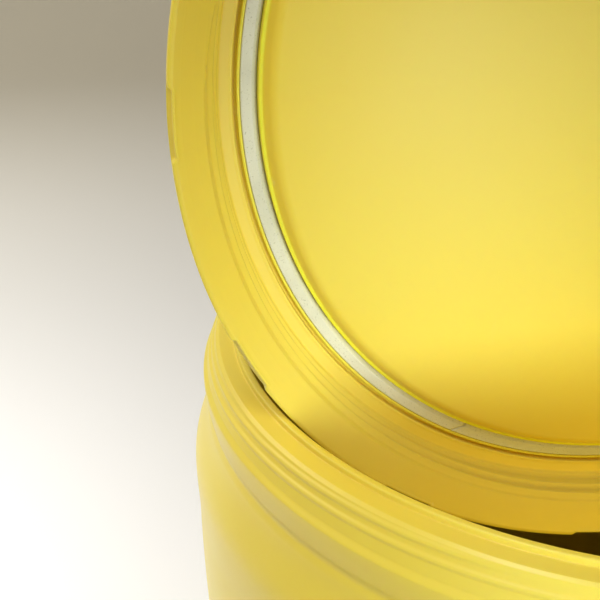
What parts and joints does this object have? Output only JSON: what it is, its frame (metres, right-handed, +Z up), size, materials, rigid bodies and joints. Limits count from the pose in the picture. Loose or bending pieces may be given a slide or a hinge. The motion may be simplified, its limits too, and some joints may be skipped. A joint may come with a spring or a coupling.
{
  "type": "screw-lid overpack drum",
  "caption": "Open-head plastic overpack drum with its screw lid taken off and standing on edge in the mouth.",
  "frame": {"origin": "centre of the drum's foot, on the floor", "axes": "+Z up along the drum's axis; the inside of the standing lid faces -Y"},
  "size_m": [0.806, 0.7758, 1.665],
  "materials": {
    "yellow_polyethylene": "satin moulded polyethylene, slightly translucent",
    "grey_foam": "closed-cell foam strip, matt"
  },
  "bodies": {
    "drum": {"drum_body": "yellow_polyethylene"},
    "seal": {"lid_gasket": "grey_foam"},
    "lid": {"lid": "yellow_polyethylene"}
  },
  "joints": [
    {"name": "lid_lift", "type": "slide", "parent": "drum", "child": "seal", "axis": [0, 0, 1], "range_m": [0, 0.24]},
    {"name": "lid_turn", "type": "hinge", "parent": "seal", "child": "lid", "pos_m": [0, -0.12345, 1.26199], "axis": [0, 0.9994, 0.0349], "continuous": true}
  ]
}
